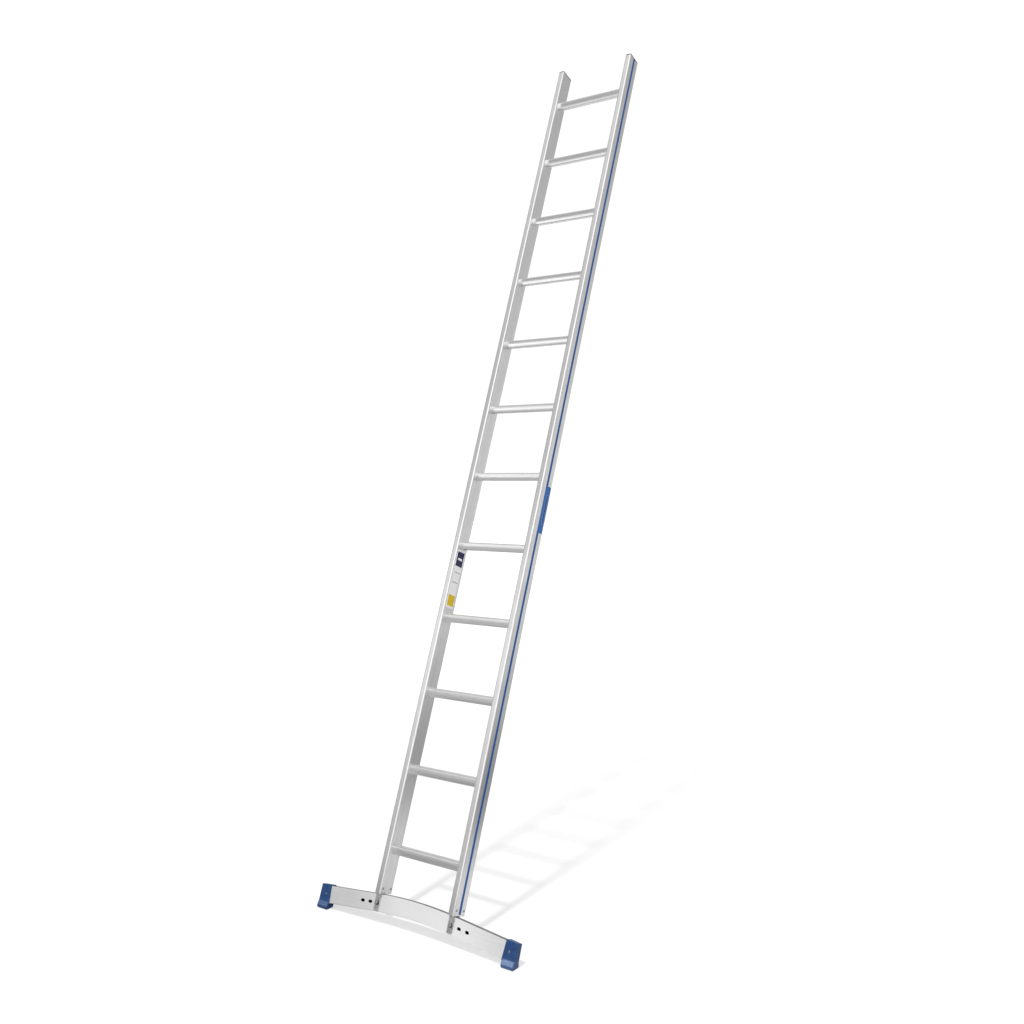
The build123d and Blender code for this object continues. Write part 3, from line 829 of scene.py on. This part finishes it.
def solids_of(name):
    """The corner points of each separate solid in a CAD piece, in a fixed order."""
    shape = bmesh.new()
    shape.from_mesh(nodes[name].data)
    bmesh.ops.remove_doubles(shape, verts=shape.verts, dist=SAME_POINT)
    waiting = set(shape.verts)
    solids = []
    while waiting:
        edge_of_search = [waiting.pop()]
        solid = []
        while edge_of_search:
            corner = edge_of_search.pop()
            solid.append(corner.co.copy())
            for edge in corner.link_edges:
                neighbour = edge.other_vert(corner)
                if neighbour in waiting:
                    waiting.remove(neighbour)
                    edge_of_search.append(neighbour)
        solids.append(solid)
    shape.free()
    return sorted(solids, key=average)


def box_middle(solid):
    """The middle of the box round a solid's corner points."""
    low, high = ([end(point[axis] for point in solid) for axis in range(3)] for end in (min, max))
    return (Vector(low) + Vector(high)) / 2


def seat_of(solid, axis):
    """Where the widest ring of a headed fastener sits, which way it faces, and its head's size."""
    centre = box_middle(solid)
    lengths = [(point - centre).dot(axis) for point in solid]
    radii = [((p - centre) - axis * length).length for p, length in zip(solid, lengths)]
    wide = [length for length, radius in zip(lengths, radii) if radius > RIM_SHARE * max(radii)]
    ring = sum(wide) / len(wide)
    sign = 1 if max(lengths) - ring < ring - min(lengths) else -1
    top = max(lengths) if sign > 0 else min(lengths)
    return {
        "place": centre + axis * ring,
        "way": axis * sign,
        "radius": max(radii),
        "height": abs(top - ring),
    }


rivet_seats = [seat_of(solid, Vector((1, 0, 0))) for solid in solids_of("shoe_rivets")]
pin_seats = [seat_of(solid, FRONT) for solid in solids_of("foot_pins")]
print(len(rivet_seats), "shoe rivets and", len(pin_seats), "foot pins")
print("rivet heads are", round(2 * rivet_seats[0]["radius"] / MILLIMETRE, 1), "mm wide")

# %% [markdown]
# Seen close, a blind rivet is a low dome with a round pit in the middle, where the pulled pin broke
# off below the surface. A cylinder whose top is made of rings is bent into that shape by one drawn
# curve, from the middle out to the rim.

# %% Blind rivets
RIVET_PROFILE = [
    (0.0, 0.30), (0.25, 0.30), (0.27, 0.92), (0.32, 1.0),
    (0.45, 0.96), (0.65, 0.78), (0.85, 0.46), (1.0, 0.10),
]
RIVET_SIDES = 40
RIVET_RINGS = 22
SHANK_SIDES = 24
SHANK_RADIUS = 0.0024
SHOE_SHANK = 0.0068
FOOT_SHANK = 0.0071


def cylinder(tree, sides, radius, depth, rings=1, bands=1):
    """A cylinder round the Z axis, with its ends made of rings and its side of bands."""
    inputs = {
        "Vertices": sides,
        "Side Segments": bands,
        "Fill Segments": rings,
        "Radius": radius,
        "Depth": depth,
    }
    ends = "TRIANGLE_FAN" if rings > 1 else "NGON"
    return add(tree, "GeometryNodeMeshCylinder", inputs, fill_type=ends).outputs["Mesh"]


def blind_rivets(sizes):
    """The tree that makes one kind of rivet."""
    tree, given = start_tree("blind_rivets", sizes)
    radius, height = given["Radius"], given["Height"]
    head = cylinder(tree, RIVET_SIDES, radius, height, rings=RIVET_RINGS)
    x, y, z = position(tree)
    share = calculate(tree, "DIVIDE", from_axis(tree, x, y), radius)
    share = drawn_curve(tree, share, RIVET_PROFILE)
    upper = calculate(tree, "GREATER_THAN", z, 0.0)
    dome = bent(tree, head, x, y, product(tree, share, height, upper))
    shank = cylinder(tree, SHANK_SIDES, given["Shank radius"], given["Shank length"])
    shank = lowered(tree, shank, given["Shank length"], 0.5)
    end_tree(tree, set_on_points(tree, given, joined(tree, dome, shank)), given["Finish"])
    return tree


def set_rivets(name, seats, shank_length, replaced):
    """Grows rivets on the seats, in place of a CAD piece."""
    slot = slot_of[replaced]
    sizes = {
        "Radius": seats[0]["radius"],
        "Height": seats[0]["height"],
        "Shank radius": SHANK_RADIUS,
        "Shank length": shank_length,
        "Finish": finishes[slot],
    }
    points = [seat["place"] for seat in seats]
    axes = [seat["way"] for seat in seats]
    piece = grow(name, blind_rivets(sizes), sizes, points, axes)
    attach(piece, "root")
    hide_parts(replaced)


set_rivets("blind_rivets", rivet_seats, SHOE_SHANK, "shoe_rivets")
set_rivets("foot_rivets", pin_seats, FOOT_SHANK, "foot_pins")

# %% [markdown]
# Bolts
#
# One hexagon bolt goes through each shoe and the bar. The head's six sides are straight, but its
# corners are turned off on a lathe, which leaves curved chamfer lines.
# Cutting a six-sided prism with a cone would give them too. Here a round cylinder becomes the hexagon
# by moving each point out to the nearest side, and the chamfer lowers whatever is far from the
# middle, so one tree does both.

# %% The head of a bolt
bolt_sizes = {
    "Across flats": 0.013,
    "Head height": HEAD_HEIGHT,
    "Diameter": 0.008,
    "Length": 0.0492,
    "Thread pitch": 0.00125,
    "Finish": finishes["zinc_steel"],
}
CHAMFER_SLOPE = math.tan(math.radians(30))
CHAMFER_START = 0.95
SIXTH = math.pi / 3
HEAD_SIDES = 72
HEAD_RINGS = 10
HEAD_BANDS = 2


def hexagon_head(tree, given):
    """A chamfered hexagon whose seat is at height 0, with its top above."""
    height = given["Head height"]
    apothem = product(tree, given["Across flats"], 0.5)
    round_head = cylinder(tree, HEAD_SIDES, apothem, height, HEAD_RINGS, HEAD_BANDS)
    x, y, z = position(tree)
    angle = calculate(tree, "ADD", calculate(tree, "ARCTAN2", y, x), 2 * math.pi)
    off_flat = calculate(tree, "SUBTRACT", calculate(tree, "MODULO", angle, SIXTH), SIXTH / 2)
    stretch = calculate(tree, "DIVIDE", 1.0, calculate(tree, "COSINE", off_flat))
    out = product(tree, from_axis(tree, x, y), stretch)
    beyond = calculate(tree, "SUBTRACT", out, product(tree, apothem, CHAMFER_START))
    beyond = calculate(tree, "MAXIMUM", beyond, 0.0)
    ceiling = calculate(tree, "MULTIPLY_ADD", beyond, -CHAMFER_SLOPE, height)
    raised = calculate(tree, "ADD", z, product(tree, height, 0.5))
    top = calculate(tree, "MINIMUM", raised, ceiling)
    return bent(tree, round_head, product(tree, x, stretch), product(tree, y, stretch), top)


print("bolt heads are", bolt_sizes["Across flats"], "m across flats and", HEAD_HEIGHT, "m high")

# %% [markdown]
# The end that shows behind the nut has a thread. It is a small triangle swept along a spiral, round
# a core as thick as the thread's root.

# %% The thread, and the bolts in their places
THREAD_DEPTH = 0.6  # as a share of the pitch
RIDGE_SHARE = 0.667  # of the thread's depth
CORE_SIDES = 32
TURN_POINTS = 24
RIDGE_SIDES = 3
BOLT_SHARP_ANGLE = 0.4  # radians


def threaded_shank(tree, given):
    """A core and the thread wound round it, both hanging below height 0."""
    length = given["Length"]
    depth = product(tree, given["Thread pitch"], THREAD_DEPTH)
    outer = product(tree, given["Diameter"], 0.5)
    core = cylinder(tree, CORE_SIDES, calculate(tree, "SUBTRACT", outer, depth), length)
    ridge_radius = product(tree, depth, RIDGE_SHARE)
    path_radius = calculate(tree, "SUBTRACT", outer, ridge_radius)
    inputs = {
        "Resolution": TURN_POINTS,
        "Rotations": calculate(tree, "DIVIDE", length, given["Thread pitch"]),
        "Start Radius": path_radius,
        "End Radius": path_radius,
        "Height": length,
    }
    spiral = add(tree, "GeometryNodeCurveSpiral", inputs).outputs[0]
    inputs = {"Resolution": RIDGE_SIDES, "Radius": ridge_radius}
    ridge = add(tree, "GeometryNodeCurvePrimitiveCircle", inputs).outputs[0]
    thread = swept(tree, spiral, ridge)
    return lowered(tree, core, length, 0.5), lowered(tree, thread, length, 1.0)


def hexagon_bolts():
    """The tree that makes both bolts."""
    tree, given = start_tree("hexagon_bolts", bolt_sizes)
    bolt = joined(tree, hexagon_head(tree, given), *threaded_shank(tree, given))
    end_tree(tree, set_on_points(tree, given, bolt), given["Finish"], sharp=BOLT_SHARP_ANGLE)
    return tree


bolt_places = []
for solid in solids_of("stabiliser_bolts"):
    head_seat = max(point.dot(FRONT) for point in solid) - HEAD_HEIGHT
    centre = box_middle(solid)
    bolt_places.append(centre + FRONT * (head_seat - centre.dot(FRONT)))
bolts = grow("hexagon_bolts", hexagon_bolts(), bolt_sizes, bolt_places, [FRONT] * len(bolt_places))
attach(bolts, "root")
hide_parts("stabiliser_bolts")

# %% [markdown]
# The floor
#
# The ladder stands on a plain floor that is lit to white, with only the soft shadow left. Bare metal
# shows its surroundings, and on a floor that is pure white all round it would lose its shape. So the
# floor answers the camera in white and answers reflections in greys, as a real studio floor does
# before the picture is brightened.

# %% Floor
FLOOR_SIZE = 60.0
FLOOR_DROP = 0.0003
floor_mesh = bpy.data.meshes.new("floor")
half = FLOOR_SIZE / 2
outline = [(-half, -half), (half, -half), (half, half), (-half, half)]
corners = [(x, y, -FLOOR_DROP) for x, y in outline]
floor_mesh.from_pydata(corners, [], [(0, 1, 2, 3)])
floor = bpy.data.objects.new("floor", floor_mesh)
bpy.context.scene.collection.objects.link(floor)
print("floor", FLOOR_SIZE, "m wide")

# %% [markdown]
# To reflections the floor is a dark grey just left of the feet and gets lighter further out, most of
# all far back on the left, which the undersides of the high rungs mirror. A still darker strip behind
# the ladder on the right is a painted shadow of the ladder, seen only in reflections, and gives the
# stiles a darker stretch a little above their feet.
# To the camera it has light of its own, growing with the distance, which keeps the shadow pale and
# fades it out.

# %% Floor paint
NEAR_GREY = grey(0.25)
BACK_RIGHT_WAY = (0.8, 0.6, 0.0)
BACK_LEFT_WAY = (-0.6, 0.8, 0.0)
FRONT_LEFT_WAY = (-0.6, -0.8, 0.0)
MIRRORED_PARTS = [  # direction, metres where it starts and where it is full, grey
    (BACK_RIGHT_WAY, -0.3, 0.2, 0.57),
    # painted shadow of the ladder, seen only in reflections
    (BACK_RIGHT_WAY, 0.95, 1.35, 0.10),
    (BACK_RIGHT_WAY, 2.6, 3.6, 0.60),
    (BACK_LEFT_WAY, 2.0, 5.0, 1.0),
    (FRONT_LEFT_WAY, 1.0, 3.0, 0.42),
]
SEEN_GREY = grey(0.36)
NEAR_GLOW = (0.5, 4.5, 0.54, 0.67)  # metres from, metres to, strength from, strength to
FAR_GLOW = (3.0, 9.0, 0.0, 0.30)

floor_finish = bpy.data.materials.new("floor_paint")
floor_finish.use_nodes = True
paint = floor_finish.node_tree
paint.nodes.clear()
spot = add(paint, "ShaderNodeTexCoord").outputs["Object"]
away = add(paint, "ShaderNodeVectorMath", {0: spot}, operation="LENGTH").outputs["Value"]
lit = add(paint, "ShaderNodeBsdfDiffuse", {"Color": (*SEEN_GREY, 1)}).outputs[0]
strength = calculate(
    paint, "ADD", rescale(paint, away, *NEAR_GLOW), rescale(paint, away, *FAR_GLOW)
)
glow = add(paint, "ShaderNodeEmission", {"Strength": strength}).outputs[0]
seen = add(paint, "ShaderNodeAddShader", {0: lit, 1: glow}).outputs[0]
shade = NEAR_GREY
for direction, start, full, level in MIRRORED_PARTS:
    share = rescale(paint, reach(paint, spot, direction), start, full, smooth=True)
    shade = mix_colours(paint, share, shade, grey(level))
mirrored = add(paint, "ShaderNodeBsdfDiffuse", {"Color": shade}).outputs[0]
by_camera = add(paint, "ShaderNodeLightPath").outputs["Is Camera Ray"]
answer = add(paint, "ShaderNodeMixShader", {0: by_camera, 1: mirrored, 2: seen}).outputs[0]
add(paint, "ShaderNodeOutputMaterial", {"Surface": answer})
floor_mesh.materials.append(floor_finish)
print("floor paint has", len(MIRRORED_PARTS), "mirrored parts")

# %% [markdown]
# Studio light
#
# The surroundings are a soft room: bright at the front right, dim at the front left, and dimmest at
# the far left. Bare metal is little more than a picture of its surroundings, so this is what gives
# each face of a stile its own grey. A sky texture or a photographed room would do the same with less
# control.
# Four ramps hold the brightness by height above the horizon, and the direction blends them.

# %% Brightness by height
FRONT_LEFT = [
    (-90, 0.40), (-8, 0.40), (-5, 0.85), (5, 0.85), (9, 0.34), (14, 0.36),
    (30, 0.42), (37, 0.47), (43, 0.66), (52, 0.88), (75, 1.00),
]
FRONT_RIGHT = [
    (-90, 0.50), (0, 0.60), (8, 1.00), (14, 1.45),
    (28, 1.65), (42, 1.45), (60, 1.25), (75, 1.00),
]
BACK_LEFT = [
    (-90, 0.60), (0, 0.85), (6, 0.80), (18, 0.42),
    (30, 0.42), (45, 0.60), (60, 0.80), (75, 0.95),
]
BACK_RIGHT = [
    (-90, 0.70), (3, 0.76), (10, 0.60), (18, 0.42),
    (30, 0.40), (45, 0.56), (60, 0.80), (75, 0.95),
]
world = bpy.data.worlds.new("studio")
world.use_nodes = True
sky = world.node_tree
sky.nodes.clear()
sky_way = add(sky, "ShaderNodeTexCoord").outputs["Generated"]
x, y, z = add(sky, "ShaderNodeSeparateXYZ", {0: sky_way}).outputs
height_share = calculate(sky, "MULTIPLY_ADD", calculate(sky, "ARCSINE", z), 1 / math.pi, 0.5)


def light_by_height(steps):
    """A ramp of greys: each step is (degrees above the horizon, brightness), from -90 up."""
    node = add(sky, "ShaderNodeValToRGB", {0: height_share})
    stops = node.color_ramp.elements
    stops.remove(stops[1])
    for degrees, bright in steps:
        place = degrees / 180 + 0.5
        stop = stops.new(place) if place else stops[0]
        stop.color = (*grey(bright), 1)
    return node.outputs[0]


front_left, front_right = light_by_height(FRONT_LEFT), light_by_height(FRONT_RIGHT)
back_left, back_right = light_by_height(BACK_LEFT), light_by_height(BACK_RIGHT)
print("steps in front:", len(FRONT_LEFT) + len(FRONT_RIGHT))
print("steps behind:", len(BACK_LEFT) + len(BACK_RIGHT))

# %% [markdown]
# The four ramps are blended from left to right and from front to back, and the far left is dimmed.
# The camera itself sees none of this, only an even white backdrop.

# %% Surroundings
LEFT_INTO_RIGHT = (-0.3, 0.1)
FRONT_INTO_BACK = (-0.35, 0.2)
FAR_LEFT = (-0.95, -0.68)
FAR_LEFT_DIM = 0.6
BACKDROP_LIGHT = 1.05

rightward = rescale(sky, x, *LEFT_INTO_RIGHT, smooth=True)
backward = rescale(sky, y, *FRONT_INTO_BACK, smooth=True)
far_left = rescale(sky, x, *FAR_LEFT, FAR_LEFT_DIM, 1.0, smooth=True)
front = mix_colours(sky, rightward, front_left, front_right)
back = mix_colours(sky, rightward, back_left, back_right)
soft = mix_colours(sky, backward, front, back)
room = add(sky, "ShaderNodeBackground", {"Color": soft, "Strength": far_left}).outputs[0]
inputs = {"Color": (*grey(1.0), 1), "Strength": BACKDROP_LIGHT}
backdrop = add(sky, "ShaderNodeBackground", inputs).outputs[0]
by_camera = add(sky, "ShaderNodeLightPath").outputs["Is Camera Ray"]
around = add(sky, "ShaderNodeMixShader", {0: by_camera, 1: room, 2: backdrop}).outputs[0]
add(sky, "ShaderNodeOutputWorld", {0: around})
bpy.context.scene.world = world
print("surroundings dimmed to", FAR_LEFT_DIM, "at the far left, backdrop", BACKDROP_LIGHT)

# %% [markdown]
# Three lamps do the rest. One high up in front casts the shadow that falls away behind the ladder.
# It is small for its distance, so the shadow starts sharp at the feet and only turns soft towards its
# far end. The metal does not mirror it, because so small and strong a lamp would burn a ragged white
# line into every rounded edge.
# The other two are soft panels at the front left, a weak one under a stronger one. They stand close,
# so each rung sees them at another height: the low rungs mirror them in their upper edges and the
# high ones in their lower edges.

# %% Lamps


def soft_lamp(name, place, target, width, height, power, mirrored=True):
    """A rectangle of light, facing the target, that the camera never sees. Metal may mirror it."""
    data = bpy.data.lights.new(name, "AREA")
    data.shape = "RECTANGLE"
    data.size = width
    data.size_y = height
    data.energy = power
    lamp = bpy.data.objects.new(name, data)
    lamp.location = place
    lamp.rotation_mode = "QUATERNION"
    lamp.rotation_quaternion = (Vector(target) - Vector(place)).to_track_quat("-Z", "Y")
    lamp.visible_camera = False
    lamp.visible_glossy = mirrored
    bpy.context.scene.collection.objects.link(lamp)
    print(name, power, "W,", round(Vector(place).length, 2), "m from the feet")


soft_lamp(
    "key_light", (0.63, -2.8, 7.6), target=(0, 0.6, 1.0),
    width=0.42, height=0.5, power=440.0, mirrored=False,
)
soft_lamp(
    "low_panel", (-1.75, -2.1, 1.72), target=(0, 0.5, 1.72), width=2.6, height=0.55, power=2.6
)
soft_lamp(
    "high_panel", (-1.75, -2.1, 2.45), target=(0, 0.5, 2.45), width=2.6, height=0.90, power=5.8
)

# %% [markdown]
# Camera
#
# The ladder is seen from the front right, at about eye height, through a lens a little wider than
# normal. The place and the angles were worked out from the rungs and stiles in the photo.

# %% Camera
from mathutils import Matrix

IMAGE_WIDTH = 1024
FOCAL_PIXELS = 1054.447
CAMERA_PLACE = (2.31044, -2.68020, 1.53175)
YAW, PITCH, ROLL = 35.315, -1.609, 0.1756

camera_data = bpy.data.cameras.new("camera")
camera_data.lens = FOCAL_PIXELS * camera_data.sensor_width / IMAGE_WIDTH
camera = bpy.data.objects.new("camera", camera_data)
turns = [(YAW, "Z"), (90 + PITCH, "X"), (ROLL, "Z")]
pose = Matrix.Translation(CAMERA_PLACE)
for degrees, axis in turns:
    pose = pose @ Matrix.Rotation(math.radians(degrees), 4, axis)
camera.matrix_world = pose
bpy.context.scene.collection.objects.link(camera)
bpy.context.scene.camera = camera
bpy.context.scene.view_settings.view_transform = "Standard"
print("lens", round(camera_data.lens, 1), "mm")

# %% [markdown]
# The end

# %% The end
import json
